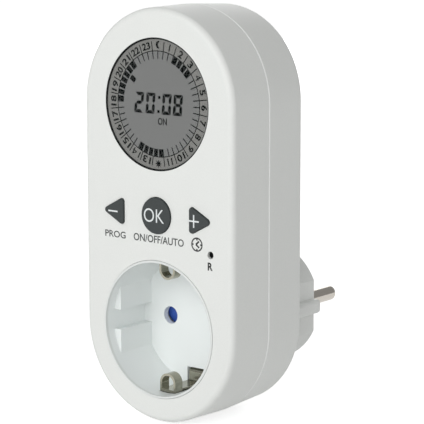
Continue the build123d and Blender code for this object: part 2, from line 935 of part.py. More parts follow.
def make_input_strip():
    """The strip from a plug pin's end to the back of the power board."""
    plate = strip_plate_depth + strip_thickness / 2
    riser = power_board_back + input_strip_gap + strip_thickness / 2
    points = [(plate, -strip_width / 2), (plate, input_strip_height), (riser, input_strip_height),
              (riser, strip_top)]
    strip = bent_strip(points, strip_thickness, strip_width, pin_x)
    strip -= disc(rivet_radius + pin_seat_clearance, plate - strip_thickness, plate + strip_thickness, pin_x)
    side = strip_width / 2
    return strip + block(pin_x - side, pin_x + side, strip_top - solder_tab_height, strip_top,
                         power_board_back, riser)


def make_output_strip():
    """The strip from the power board down to a socket contact, which it fits round."""
    side = strip_width / 2
    near = power_board_depth - strip_thickness
    strip = block(pin_x - side, pin_x + side, contact_radius, strip_top, near, power_board_depth)
    return strip - disc(contact_radius + contact_wall, near, power_board_depth, pin_x)


def make_socket_contact():
    """The sprung split sleeve that grips the inserted plug's pin."""
    near = carrier_back + contact_start
    far = carrier_back + tower_length
    outer = contact_radius + contact_wall
    sleeve = ring(outer, contact_radius, near, far, pin_x)
    return sleeve - block(pin_x - contact_slit / 2, pin_x + contact_slit / 2, -outer, 0, near, far)


def make_contact_carrier():
    """The insulating plate behind the well: shutter post, contact towers and earth slots."""
    carrier = disc(carrier_radius, carrier_depth, carrier_back)
    carrier += disc(post_radius, cup_back + post_front_gap, carrier_depth)
    mouth = tower_mouth_width / 2
    for side in (-1, 1):
        x = side * pin_x
        carrier += disc(tower_inner_radius + tower_wall, carrier_back, carrier_back + tower_length, x)
        carrier -= disc(tower_inner_radius, carrier_depth, carrier_back + tower_length, x)
        carrier -= block(x - mouth, x + mouth, 0, tower_inner_radius + tower_wall, carrier_back,
                         carrier_back + tower_length)
    slot_side = earth_strip_width / 2 + earth_arm_clearance
    slot_low = earth_arm_height - earth_bend_radius
    slot_high = earth_arm_height + strip_thickness / 2 + earth_arm_clearance
    slot = block(-slot_side, slot_side, slot_low, slot_high, carrier_depth, carrier_back)
    carrier -= slot + upside_down(slot)
    for x, z in carrier_screw_places():
        carrier -= disc(board_screw_radius + screw_clearance, carrier_depth, carrier_back, x, z)
    return carrier


def make_carrier_screws():
    """The two screws that hold the carrier to the well's bosses."""
    tip = cup_back + post_front_gap
    return [screw(carrier_screw_head_radius, board_screw_head_height, board_screw_radius, carrier_back, tip,
                  x, z) for x, z in carrier_screw_places()]


def make_housing_screws():
    """The four long screws that hold the shells together."""
    seat = casing_depth - housing_screw_seat
    return [screw(housing_screw_head_radius, housing_screw_head_height, housing_screw_radius, seat,
                  front_shell_depth - housing_screw_grip, x, z) for x, z in pillar_places()]


# Earth parts

def make_contact_bow():
    """The bowed end of the socket's upper earth contact, seen from the front as a deep U."""
    foot = earth_arm_reach + strip_thickness / 2
    crown = bow_apex + bow_radius
    outer = Pos(0, crown) * Circle(bow_radius) + patch(-bow_radius, bow_radius, crown, foot)
    inner_radius = bow_radius - bow_thickness
    inner_foot = foot - strip_thickness
    inner = Pos(0, crown) * Circle(inner_radius) + patch(-inner_radius, inner_radius, crown, inner_foot)
    return slab(outer - inner, bow_start, bow_start + bow_width)


def make_earth_bridge():
    """The socket's earth contact: a bar behind the carrier with an arm and a bow at each end."""
    bar = carrier_back + strip_thickness / 2
    arm = [(bar, 0), (bar, earth_arm_height), (earth_face_depth, earth_arm_height),
           (earth_face_depth, earth_arm_reach), (bow_start, earth_arm_reach)]
    upper = bent_strip(arm, strip_thickness, earth_strip_width) + make_contact_bow()
    return upper + upside_down(upper)


def make_plug_earth_clip():
    """The plug's upper earth clip: a foot on the bridge and a sprung bow in the turret's channel."""
    foot = carrier_back + strip_thickness * 1.5
    points = [(foot, clip_height - clip_foot), (foot, clip_height), (casing_depth + clip_straight, clip_height),
              (casing_depth + clip_crest, earth_channel_floor + clip_crest_rise),
              (face_depth - clip_end_gap, earth_channel_floor + clip_end_rise)]
    return bent_strip(points, strip_thickness, clip_width)


# Child shutter

def make_shutter():
    """The turning shutter: two pads over the pin entries, ramped so that the pins turn it."""
    back = shutter_front + shutter_thickness
    arms = RectangleRounded(2 * pin_x, shutter_arm_width, shutter_arm_width / 3)
    outline = arms + Circle(shutter_hub_radius)
    for side in (-1, 1):
        outline += Pos(side * pin_x, 0) * Circle(shutter_pad_radius)
    shutter = slab(outline, shutter_front, back)
    for side in (-1, 1):
        shutter -= make_ramp(side)
    shutter -= disc(post_radius + post_clearance, shutter_front, back)
    return shutter - disc(spring_recess_radius, back - spring_recess_depth, back)


def make_ramp(side):
    """The wedge cut from a pad's front, deepest where the pad trails the pin."""
    reach = shutter_pad_radius
    near = front_y + shutter_front
    low, high = -side * reach, side * reach
    profile = make_face(Polyline((near, low), (near + shutter_ramp, high), (near - 1, high), (near - 1, low),
                                 close=True).edges())
    wedge = extrude(Plane.YZ * profile, amount=reach, both=True)
    return Pos(side * (pin_x + shutter_hub_radius - shutter_pad_radius), 0, 0) * wedge


def make_shutter_spring():
    """The torsion spring that turns the shutter back, wound round the post."""
    room = spring_recess_depth + carrier_depth - shutter_front - shutter_thickness
    height = room - 4 * spring_wire
    coil = Helix(height / spring_turns, height, spring_radius)
    section = Plane(coil @ 0, z_dir=coil % 0) * Circle(spring_wire)
    winding = sweep(section, path=coil, is_frenet=True)
    start = shutter_front + shutter_thickness - spring_recess_depth + 2 * spring_wire
    return Pos(0, front_y + start, 0) * Rot(-90, 0, 0) * winding


def save(name, solids):
    """Write one node's solids."""
    parts = solids if isinstance(solids, list) else [solids]
    bodies = [body for part in parts for body in part.solids()]
    export_step(Compound(children=bodies), "parts/" + name + ".step")


def main():
    """Build every piece and write it to its own file."""
    os.makedirs("parts", exist_ok=True)
    save("front_cover", make_front_cover())
    save("rear_housing", make_rear_housing())
    save("plug_turret", make_plug_turret())
    save("socket_insert", make_socket_insert())
    save("display_window", make_display_window())
    save("lcd_panel", make_lcd_panel())
    save("lcd_frame", make_lcd_frame())
    save("zebra_strips", make_zebra_strips())
    save("control_board", make_control_board())
    centres = key_centres()
    for name, outline in key_outlines().items():
        save("key_" + name, make_key(outline))
        save("plunger_" + name, make_plunger(centres[name]))
        save("switch_" + name, make_switch(centres[name]))
    save("reset_plunger", make_reset_plunger())
    save("reset_switch", make_reset_switch())
    save("clock_chip", make_clock_chip())
    save("clock_crystal", make_clock_crystal())
    save("backup_battery", make_backup_battery())
    save("battery_tabs", make_battery_tabs())
    save("board_connector", make_board_connector())
    save("power_board", make_power_board())
    save("relay", make_relay())
    save("suppression_capacitor", make_suppression_capacitor())
    save("smoothing_capacitor", make_smoothing_capacitor())
    save("varistor", make_varistor())
    save("dropper_resistor", make_dropper_resistor())
    save("rectifier_diodes", make_rectifier_diodes())
    save("driver_transistor", make_driver_transistor())
    save("neutral_pin", make_plug_pin())
    save("live_pin", other_side(make_plug_pin()))
    save("neutral_input_strip", make_input_strip())
    save("live_input_strip", other_side(make_input_strip()))
    save("neutral_output_strip", make_output_strip())
    save("live_output_strip", other_side(make_output_strip()))
    save("neutral_contact", make_socket_contact())
    save("live_contact", other_side(make_socket_contact()))
    save("contact_carrier", make_contact_carrier())
    save("earth_bridge", make_earth_bridge())
    save("plug_earth_clip_upper", make_plug_earth_clip())
    save("plug_earth_clip_lower", upside_down(make_plug_earth_clip()))
    save("shutter", make_shutter())
    save("shutter_spring", make_shutter_spring())
    save("housing_screws", make_housing_screws())
    save("control_board_screws", make_control_board_screws())
    save("power_board_screws", make_power_board_screws())
    save("carrier_screws", make_carrier_screws())


main()
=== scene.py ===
"""Dresses the plug-in timer switch: finishes, clock face, lettering, lamps and camera."""
import math

import bmesh
import bpy
from mathutils import Matrix, Vector


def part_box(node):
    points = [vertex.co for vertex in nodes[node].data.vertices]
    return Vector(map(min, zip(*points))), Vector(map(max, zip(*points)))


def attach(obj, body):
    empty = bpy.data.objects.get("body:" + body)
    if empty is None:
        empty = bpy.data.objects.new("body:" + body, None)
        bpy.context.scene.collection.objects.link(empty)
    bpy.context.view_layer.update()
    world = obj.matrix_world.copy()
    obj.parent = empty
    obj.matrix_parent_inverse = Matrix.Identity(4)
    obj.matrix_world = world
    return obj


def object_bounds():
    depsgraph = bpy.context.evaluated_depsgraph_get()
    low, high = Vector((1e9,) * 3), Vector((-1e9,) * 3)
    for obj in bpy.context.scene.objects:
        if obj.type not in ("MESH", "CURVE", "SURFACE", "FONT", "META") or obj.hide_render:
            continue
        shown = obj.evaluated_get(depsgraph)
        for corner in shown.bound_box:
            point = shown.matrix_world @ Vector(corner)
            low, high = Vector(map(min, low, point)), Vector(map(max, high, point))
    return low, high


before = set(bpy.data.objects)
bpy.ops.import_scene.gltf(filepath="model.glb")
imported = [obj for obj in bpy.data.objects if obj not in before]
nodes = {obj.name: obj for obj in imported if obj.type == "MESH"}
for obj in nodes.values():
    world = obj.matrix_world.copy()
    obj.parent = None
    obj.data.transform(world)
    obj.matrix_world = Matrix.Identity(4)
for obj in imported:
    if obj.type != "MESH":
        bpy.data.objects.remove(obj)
cad_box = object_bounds()
scene = bpy.context.scene
mm = 0.001

# The casing's front face lies at this y, in metres and in mm.
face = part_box("front_cover")[0].y
face_mm = face / mm


# ---------------------------------------------------------------- finishes

def linear(hex_colour):
    """A colour written in sRGB hex, as the linear RGBA that the sockets take."""
    channels = [int(hex_colour[i:i + 2], 16) / 255 for i in (1, 3, 5)]
    return [c / 12.92 if c <= 0.04045 else ((c + 0.055) / 1.055) ** 2.4 for c in channels] + [1.0]


def add(tree, kind, settings=None, links=None):
    """Adds one node. A setting is a property or a socket, and a link is what feeds a socket."""
    node = tree.nodes.new(kind)
    for key, value in (settings or {}).items():
        if isinstance(key, str) and key not in node.inputs:
            setattr(node, key, value)
        else:
            node.inputs[key].default_value = value
    for key, source in (links or {}).items():
        tree.links.new(source, node.inputs[key])
    return node


def empty_material(name):
    material = bpy.data.materials.new(name)
    material.use_nodes = True
    material.node_tree.nodes.clear()
    return material, material.node_tree


def object_place(tree):
    return add(tree, "ShaderNodeTexCoord").outputs["Object"]


def patterned(name, colours, pattern, roughness, relief=None, **shader):
    """A finish whose colour and roughness follow a pattern: pattern(tree, place) gives a factor of 0 to 1.

    colours are the hex colours at 0 and 1, roughness the values there, and relief a height in mm.
    """
    material, tree = empty_material(name)
    factor = pattern(tree, object_place(tree))
    colour = add(tree, "ShaderNodeMix", {"data_type": "RGBA", 6: linear(colours[0]), 7: linear(colours[1])},
                 {0: factor})
    rough = add(tree, "ShaderNodeMapRange", {"To Min": roughness[0], "To Max": roughness[1]}, {0: factor})
    links = {"Base Color": colour.outputs[2], "Roughness": rough.outputs[0]}
    if relief:
        bump = add(tree, "ShaderNodeBump", {"Strength": 0.6, "Distance": relief * mm}, {"Height": factor})
        links["Normal"] = bump.outputs[0]
    surface = add(tree, "ShaderNodeBsdfPrincipled", shader, links)
    add(tree, "ShaderNodeOutputMaterial", links={"Surface": surface.outputs[0]})
    return material


def grain(size, detail=3.0, stretch=(1, 1, 1)):
    """An irregular pattern with spots of that size in mm, drawn out along an axis by a stretch below 1."""
    def pattern(tree, place):
        mapping = add(tree, "ShaderNodeMapping", {"Scale": stretch}, {"Vector": place})
        noise = add(tree, "ShaderNodeTexNoise",
                    {"Scale": 1 / (size * mm), "Detail": detail, "Roughness": 0.55},
                    {"Vector": mapping.outputs[0]})
        spread = add(tree, "ShaderNodeMapRange", {"From Min": 0.3, "From Max": 0.7}, {0: noise.outputs[0]})
        return spread.outputs[0]
    return pattern


# A wave texture of scale 1 repeats over this length.
wave_length = math.pi / 10


def bands(pitch, direction, blend):
    """Parallel stripes, one light and one dark in each pitch in mm.

    blend is the share of the wave's height over which one turns into the other: 0.1 is crisp and 1 is soft.
    """
    def pattern(tree, place):
        wave = add(tree, "ShaderNodeTexWave",
                   {"wave_type": "BANDS", "bands_direction": direction, "Scale": wave_length / (pitch * mm)},
                   {"Vector": place})
        edge = add(tree, "ShaderNodeMapRange", {"From Min": 0.5 - blend / 2, "From Max": 0.5 + blend / 2},
                   {0: wave.outputs["Fac"]})
        return edge.outputs[0]
    return pattern


def behind(depth, blend):
    """Two finishes that part at a depth in mm behind the casing's face, blended that far on either side."""
    def pattern(tree, place):
        parts = add(tree, "ShaderNodeSeparateXYZ", links={0: place})
        step = add(tree, "ShaderNodeMapRange",
                   {"From Min": face + (depth - blend) * mm, "From Max": face + (depth + blend) * mm},
                   {0: parts.outputs["Y"]})
        return step.outputs[0]
    return pattern


# Acrylonitrile-butadiene-styrene, moulded in a finely eroded tool: soft even white with a faint sheen.
# The real grain is about 0.05 mm, too fine to show, and is drawn at 0.5 mm.
moulded_abs_white = patterned("moulded_abs_white", ("#e6e8e5", "#e9ebe8"), grain(0.5), (0.42, 0.50), 0.002)
# Polyamide of the socket: its lip is eroded like the casing, and the polished well behind the lip is a
# cooler, shinier white, painted paler than the lip: painted light that lifts the shade inside the well.
socket_polyamide_painted_light = patterned("socket_polyamide_painted_light", ("#e3e6e4", "#f0f4f3"), behind(0.6, 0.3), (0.50, 0.32))
# Glass-filled polyamide: off-white with a slightly cloudy surface.
filled_polyamide = patterned("filled_polyamide", ("#d9d6c8", "#e2dfd2"), grain(0.8), (0.50, 0.62), 0.01)
# Black moulded polystyrene: even and matt.
matt_polystyrene = patterned("matt_polystyrene", ("#1c1d1e", "#232425"), grain(0.5), (0.52, 0.60), 0.004)
# Key caps moulded in silicone-coated resin: dark slate with a soft bloom.
slate_key_resin = patterned("slate_key_resin", ("#2b3131", "#313737"), grain(0.4), (0.50, 0.58), 0.002)
# Acetal: slick, slightly waxy white.
acetal = patterned("acetal", ("#dad9d2", "#e3e2dc"), grain(0.6), (0.34, 0.42), 0.003)
# Black phenolic of the small switches: dull, with a fine mineral grain.
phenolic_black = patterned("phenolic_black", ("#17181a", "#202124"), grain(0.3), (0.45, 0.58), 0.005)
# Transfer-moulded epoxy with fine mineral filler: charcoal with pale specks.
chip_epoxy = patterned("chip_epoxy", ("#1b1c1e", "#2b2c2f"), grain(0.15, 1.0), (0.55, 0.70), 0.006)
# Blue polyester case of the relay: even, with a soft sheen.
relay_polyester = patterned("relay_polyester", ("#1c3f7a", "#224886"), grain(0.6), (0.30, 0.38), 0.003)
# Yellow flame-retardant case of the mains capacitor: even, with a soft sheen.
capacitor_case = patterned("capacitor_case", ("#d8b326", "#e2be34"), grain(0.7), (0.32, 0.42), 0.004)
# Blue dipped epoxy of the varistor: thick, glossy and slightly lumpy.
dipped_epoxy = patterned("dipped_epoxy", ("#1e5fae", "#2a6dbd"), grain(1.6), (0.16, 0.24), 0.05)
# Epoxy body of the diodes and the transistor: nearly black and dull.
diode_epoxy = patterned("diode_epoxy", ("#151517", "#222225"), grain(0.25), (0.40, 0.52), 0.004)
# Blue-dyed polyamide of the child-safety shutter, smooth and even.
shutter_resin = patterned("shutter_resin", ("#3a5cb4", "#4265be"), grain(0.8), (0.26, 0.34), 0.002)
# Bright nickel over bronze on the earth contacts, rolled strip with fine draw lines.
nickelled_strip = patterned("nickelled_strip", ("#959385", "#a09e90"), grain(0.5, 2.0, (1, 0.12, 1)),
                            (0.16, 0.22), Metallic=1.0)
# Nickel-plated turned brass of the plug pins: faint rings from the lathe. A usual feed of 0.08 mm is too fine
# to show, and is drawn at 0.25 mm.
nickelled_pin = patterned("nickelled_pin", ("#b5b0a8", "#c0bbb3"), bands(0.25, "Y", 0.9), (0.14, 0.20), 0.002,
                          Metallic=1.0)
# Plain rolled contact brass: warm yellow, with fine draw lines.
rolled_brass = patterned("rolled_brass", ("#b8913f", "#c9a44f"), grain(0.5, 2.0, (1, 0.12, 1)),
                         (0.26, 0.40), 0.004, Metallic=1.0)
# Tinned steel of small tabs and cans: pale grey, a little clouded.
tinned_steel = patterned("tinned_steel", ("#b2b4b5", "#c4c6c7"), grain(0.8), (0.26, 0.38), 0.004,
                         Metallic=1.0)
# Pressed stainless cell cans: pale grey, finely brushed.
battery_can = patterned("battery_can", ("#b5b6b4", "#c9cac8"), grain(0.4, 2.0, (0.15, 1, 1)),
                        (0.22, 0.34), 0.003, Metallic=1.0)
# Hard-drawn spring wire: mid grey, with a dull shine.
spring_wire = patterned("spring_wire", ("#7d7f82", "#919396"), grain(0.3), (0.28, 0.38), 0.002, Metallic=1.0)
# Zinc-plated screws: blue-white with a light bloom.
zinc_plate = patterned("zinc_plate", ("#a9b0b6", "#bcc3c9"), grain(0.7), (0.30, 0.42), 0.004, Metallic=1.0)
# Gold-flashed square connector pins: pale yellow and bright.
flashed_pins = patterned("flashed_pins", ("#c8a552", "#d6b566"), grain(0.5), (0.22, 0.30), 0.002,
                         Metallic=1.0)
# Sheets of carbon and silicone, stacked: the zebra connector's stripes. The real pitch of 0.18 mm is too fine
# to show, and is drawn at 0.25 mm.
zebra_stack = patterned("zebra_stack", ("#17181a", "#c9cbc8"), bands(0.25, "X", 0.2), (0.55, 0.70))
# Green solder resist over woven glass, with the weave showing faintly.
resist_on_glass = patterned("resist_on_glass", ("#14532f", "#1b6139"), bands(0.35, "Z", 1.0), (0.24, 0.34),
                            0.006)
# Shrink sleeve of the electrolytic capacitor: dark, with the pale stripes that mark its minus side.
capacitor_sleeve = patterned("capacitor_sleeve", ("#20242c", "#c9ccd0"), bands(4.5, "Z", 0.1), (0.30, 0.38))
# Flameproof lacquer of the resistor: dull blue, ringed in brown.
resistor_lacquer = patterned("resistor_lacquer", ("#4d7f9a", "#7c3a24"), bands(1.3, "Z", 0.2), (0.42, 0.52),
                             0.01)


def dial_distance(tree, place, centre):
    """How far a point lies from the display's middle, across the front, in metres."""
    offset = add(tree, "ShaderNodeVectorMath", {"operation": "SUBTRACT", 1: centre}, {0: place})
    flat = add(tree, "ShaderNodeVectorMath", {"operation": "MULTIPLY", 1: (1, 0, 1)}, {0: offset.outputs[0]})
    return add(tree, "ShaderNodeVectorMath", {"operation": "LENGTH"}, {0: flat.outputs[0]}).outputs["Value"]


def display_film(name, hour_ring, middle, change, centre):
    """The polariser of a reflective liquid crystal display: grey, a shade paler outside the radius change."""
    material, tree = empty_material(name)
    place = object_place(tree)
    distance = dial_distance(tree, place, centre)
    ring = add(tree, "ShaderNodeMath", {"operation": "GREATER_THAN", 1: change}, {0: distance})
    cloud = add(tree, "ShaderNodeTexNoise", {"Scale": 1 / (0.4 * mm), "Detail": 2.0}, {"Vector": place})
    tone = add(tree, "ShaderNodeMix", {"data_type": "RGBA", 6: linear(middle), 7: linear(hour_ring)},
               {0: ring.outputs[0]})
    light = add(tree, "ShaderNodeMapRange", {"To Min": 0.97, "To Max": 1.03}, {0: cloud.outputs[0]})
    shade = add(tree, "ShaderNodeHueSaturation", links={"Value": light.outputs[0], "Color": tone.outputs[2]})
    rough = add(tree, "ShaderNodeMapRange", {"To Min": 0.40, "To Max": 0.50}, {0: cloud.outputs[0]})
    surface = add(tree, "ShaderNodeBsdfPrincipled", {"Specular IOR Level": 0.0},
                  {"Base Color": shade.outputs[0], "Roughness": rough.outputs[0]})
    add(tree, "ShaderNodeOutputMaterial", links={"Surface": surface.outputs[0]})
    return material


def clear_acrylic(name):
    """The cast window: clear, hard-coated against glare, and letting the lamps through to the display."""
    material, tree = empty_material(name)
    haze = add(tree, "ShaderNodeTexNoise", {"Scale": 1 / (3 * mm), "Detail": 2.0},
               {"Vector": object_place(tree)})
    tint = add(tree, "ShaderNodeMix", {"data_type": "RGBA", 6: (1, 1, 1, 1), 7: linear("#fbfcfb")},
               {0: haze.outputs[0]})
    clear = add(tree, "ShaderNodeBsdfPrincipled",
                {"Roughness": 0.0, "IOR": 1.49, "Transmission Weight": 1.0,
                 "Specular Tint": (0.12, 0.12, 0.12, 1)},
                {"Base Color": tint.outputs[2]})
    open_way = add(tree, "ShaderNodeBsdfTransparent", {"Color": (0.97, 0.97, 0.97, 1)})
    path = add(tree, "ShaderNodeLightPath")
    lamp_ray = add(tree, "ShaderNodeMath", {"operation": "MAXIMUM"},
                   {0: path.outputs["Is Shadow Ray"], 1: path.outputs["Is Diffuse Ray"]})
    both = add(tree, "ShaderNodeMixShader", None,
               {0: lamp_ray.outputs[0], 1: clear.outputs[0], 2: open_way.outputs[0]})
    add(tree, "ShaderNodeOutputMaterial", links={"Surface": both.outputs[0]})
    return material


window_low, window_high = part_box("display_window")
display_middle = (window_low + window_high) / 2
window_x = display_middle.x / mm
window_z = display_middle.z / mm
# The printed glass sits a little to the right and upwards in its window.
artwork_middle = display_middle + Vector((0.46, 0, 0.13)) * mm
dial_x = artwork_middle.x / mm
dial_z = artwork_middle.z / mm
inner_circle_radius = 15.15

film_finish = display_film("reflective_polariser", "#868683", "#7e7f7e", inner_circle_radius * mm,
                           artwork_middle)
# Glass of the display's panel, grey from its reflector.
rear_glass = patterned("rear_display_glass", ("#8b928f", "#98a09c"), grain(1.2), (0.10, 0.16), 0.001)
acrylic = clear_acrylic("clear_acrylic")

finishes = {
    "white_housing": moulded_abs_white,
    "white_insert": socket_polyamide_painted_light,
    "clear_lens": acrylic,
    "lcd_glass": rear_glass,
    "frame_plastic": matt_polystyrene,
    "zebra_rubber": zebra_stack,
    "circuit_board": resist_on_glass,
    "key_rubber": slate_key_resin,
    "switch_plunger": acetal,
    "switch_body": phenolic_black,
    "chip_resin": chip_epoxy,
    "tinned_steel": tinned_steel,
    "battery_steel": battery_can,
    "connector_pins": flashed_pins,
    "relay_case": relay_polyester,
    "film_case": capacitor_case,
    "electrolytic_sleeve": capacitor_sleeve,
    "varistor_epoxy": dipped_epoxy,
    "resistor_lacquer": resistor_lacquer,
    "diode_epoxy": diode_epoxy,
    "plated_brass": nickelled_pin,
    "contact_brass": rolled_brass,
    "carrier_plastic": filled_polyamide,
    "earth_nickel": nickelled_strip,
    "shutter_blue": shutter_resin,
    "spring_steel": spring_wire,
    "zinc_steel": zinc_plate,
}
for node in nodes.values():
    for holder in node.material_slots:
        holder.material = finishes[holder.material.name]
nodes["reset_plunger"].material_slots[0].material = phenolic_black

# The rear shell's rim, painted a shade brighter than the grained faces: a painted highlight along the parting
# line.
bead_painted_highlight = patterned("rim_painted_highlight", ("#fafbf9", "#ffffff"), grain(1.0), (0.30, 0.36))
# Liquid-crystal marks: they darken the film behind the window, and have no sheen of their own.
no_sheen = {"Specular IOR Level": 0.0}
segment_black = patterned("liquid_crystal_black", ("#070b0a", "#0c1110"), grain(0.5), (0.40, 0.48),
                          **no_sheen)
hour_mark_grey = patterned("hour_mark_grey", ("#141817", "#1b1f1e"), grain(0.5), (0.40, 0.48),
                           **no_sheen)
# Pad-printing inks on the face and the keys: thin layers, a little uneven in density.
pad_print_grey = patterned("pad_print_grey", ("#2c3030", "#363a3a"), grain(0.4), (0.45, 0.55))
pad_print_black = patterned("pad_print_black", ("#101212", "#181a1a"), grain(0.4), (0.45, 0.55))
pad_print_white = patterned("pad_print_white", ("#dfe4e4", "#e9eded"), grain(0.4), (0.40, 0.50))
# Moulded seal round the window: matt and dark.
seal_rubber = patterned("seal_rubber", ("#2b2f2e", "#353a39"), grain(0.3), (0.55, 0.65))


# ---------------------------------------------------------------- sizes of the display's layers and marks

# Depths in mm: the film is laminated into the window's back, and the marks lie on the film.
film_front = face_mm + 0.70
film_back = face_mm + 0.79
mark_front = film_front - 0.03
mark_back = film_front + 0.01
mark_middle = film_front - 0.01
mark_thickness = 0.04
seal_front = face_mm + 0.03
seal_back = face_mm + 0.75

# Radii in mm, from the window's edge inwards.
seal_outer, seal_inner = 19.09, 19.01
coat_outer, coat_inner = 18.98, 18.93
film_radius = 18.92
rim_inner = 18.58
separator_outer = 17.9
sun_radius = 17.1
moon_radius = 16.9
numeral_radius = 16.75
tick_outer, tick_inner = 15.1, 12.9
bar_outer, bar_inner = 15.0, 12.9
pointer_outer, pointer_inner = 12.5, 10.5

# Stroke widths in mm.
circle_half_width = 0.13
separator_width = 0.30
tick_width = 0.32
bar_width = 1.42
pointer_width = 1.5

# Points round a large circle, the spacing of ticks and bars in hours, and what an hour is in radians.
fine_count = 160
half_hour = 0.5
hour_angle = 2 * math.pi / 24


# ---------------------------------------------------------------- flat marks

def finished(name, mesh_builder, material, body):
    """Turns a bmesh in mm into a piece that rides on a body."""
    bmesh.ops.remove_doubles(mesh_builder, verts=mesh_builder.verts, dist=1e-4)
    bmesh.ops.recalc_face_normals(mesh_builder, faces=mesh_builder.faces)
    bmesh.ops.scale(mesh_builder, vec=(mm, mm, mm), verts=mesh_builder.verts)
    mesh = bpy.data.meshes.new(name)
    mesh_builder.to_mesh(mesh)
    mesh_builder.free()
    mesh.materials.append(material)
    piece = bpy.data.objects.new(name, mesh)
    scene.collection.objects.link(piece)
    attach(piece, body)


def plate(builder, outline, front, back):
    """A flat plate with that outline of (x, z) points, between two depths y."""
    near = [builder.verts.new((x, front, z)) for x, z in outline]
    far = [builder.verts.new((x, back, z)) for x, z in outline]
    builder.faces.new(near)
    builder.faces.new(far[::-1])
    for i in range(len(outline)):
        builder.faces.new((near[i - 1], near[i], far[i], far[i - 1]))


def hoop(builder, outer, inner, front, back, outer_back=None):
    """A hoop between two closed outlines with equally many points; outer_back lets its outside slope."""
    loops = [[builder.verts.new((x, y, z)) for x, z in outline]
             for outline, y in ((outer, front), (outer_back or outer, back), (inner, back), (inner, front))]
    count = len(outer)
    for loop, following in zip(loops, loops[1:] + loops[:1]):
        for i in range(count):
            builder.faces.new((loop[i - 1], loop[i], following[i], following[i - 1]))


def circle(x, z, radius, count):
    """A closed outline with count points."""
    turns = [2 * math.pi * i / count for i in range(count)]
    return [(x + radius * math.cos(t), z + radius * math.sin(t)) for t in turns]


def arc(x, z, half_width, half_height, first, last, count):
    """Points on an ellipse from one angle in degrees to another, in count steps."""
    turns = [math.radians(first + (last - first) * i / count) for i in range(count + 1)]
    return [(x + half_width * math.cos(t), z + half_height * math.sin(t)) for t in turns]


def round_hoop(builder, x, z, outer, inner, front, back, count):
    """A hoop between two circles round one middle."""
    hoop(builder, circle(x, z, outer, count), circle(x, z, inner, count), front, back)


def stroke(start, end, width):
    """A straight stroke with square ends."""
    across = Vector((end[0] - start[0], end[1] - start[1])).normalized().orthogonal() * width / 2
    return [(start[0] + across.x, start[1] + across.y), (start[0] - across.x, start[1] - across.y),
            (end[0] - across.x, end[1] - across.y), (end[0] + across.x, end[1] + across.y)]


def spokes(builder, middle, count, inner, outer, width, front, back):
    """Strokes that run outwards round a middle, evenly spread, from one radius to another."""
    for i in range(count):
        turn = 2 * math.pi * i / count
        start, end = [(middle[0] + radius * math.cos(turn), middle[1] + radius * math.sin(turn))
                      for radius in (inner, outer)]
        plate(builder, stroke(start, end, width), front, back)


def letters(builder, text, height, middle, front, back, width=None, weight=0.0, turn=0.0):
    """Sets text with its middle at (x, z), height tall and width wide, turned clockwise by turn.

    weight thickens the strokes, as a share of the font's size.
    """
    curve = bpy.data.curves.new(text, "FONT")
    curve.body = text
    curve.offset = weight
    curve.resolution_u = 4
    holder = bpy.data.objects.new(text, curve)
    scene.collection.objects.link(holder)
    bpy.context.view_layer.update()
    flat = bpy.data.meshes.new_from_object(holder.evaluated_get(bpy.context.evaluated_depsgraph_get()))
    bpy.data.objects.remove(holder)
    bpy.data.curves.remove(curve)
    xs = [v.co.x for v in flat.vertices]
    ys = [v.co.y for v in flat.vertices]
    grow = height / (max(ys) - min(ys))
    stretch = width / (max(xs) - min(xs)) if width else grow
    centring = Matrix.Translation((-(min(xs) + max(xs)) / 2, -(min(ys) + max(ys)) / 2, 0))
    sizing = Matrix.Diagonal((stretch, grow, 1, 1))
    upright = Matrix.Rotation(turn, 4, "Y") @ Matrix.Rotation(math.pi / 2, 4, "X")
    flat.transform(Matrix.Translation((middle[0], 0, middle[1])) @ upright @ sizing @ centring)
    sheet = bmesh.new()
    sheet.from_mesh(flat)
    bpy.data.meshes.remove(flat)
    bmesh.ops.remove_doubles(sheet, verts=sheet.verts, dist=1e-3)
    twins = {}
    for vertex in sheet.verts:
        twins[vertex] = (builder.verts.new((vertex.co.x, front, vertex.co.z)),
                         builder.verts.new((vertex.co.x, back, vertex.co.z)))
    for side in sheet.faces:
        builder.faces.new([twins[v][0] for v in side.verts])
        builder.faces.new([twins[v][1] for v in reversed(side.verts)])
    for edge in sheet.edges:
        if edge.is_boundary:
            a, b = edge.verts
            builder.faces.new((twins[a][0], twins[b][0], twins[b][1], twins[a][1]))
    sheet.free()


def on_dial(hour, radius):
    """The (x, z) of a point on the 24-hour dial: 0 at the top, clockwise."""
    angle = hour * hour_angle
    return dial_x + radius * math.sin(angle), dial_z + radius * math.cos(angle)


# ---------------------------------------------------------------- marks in a circle, by Geometry Nodes

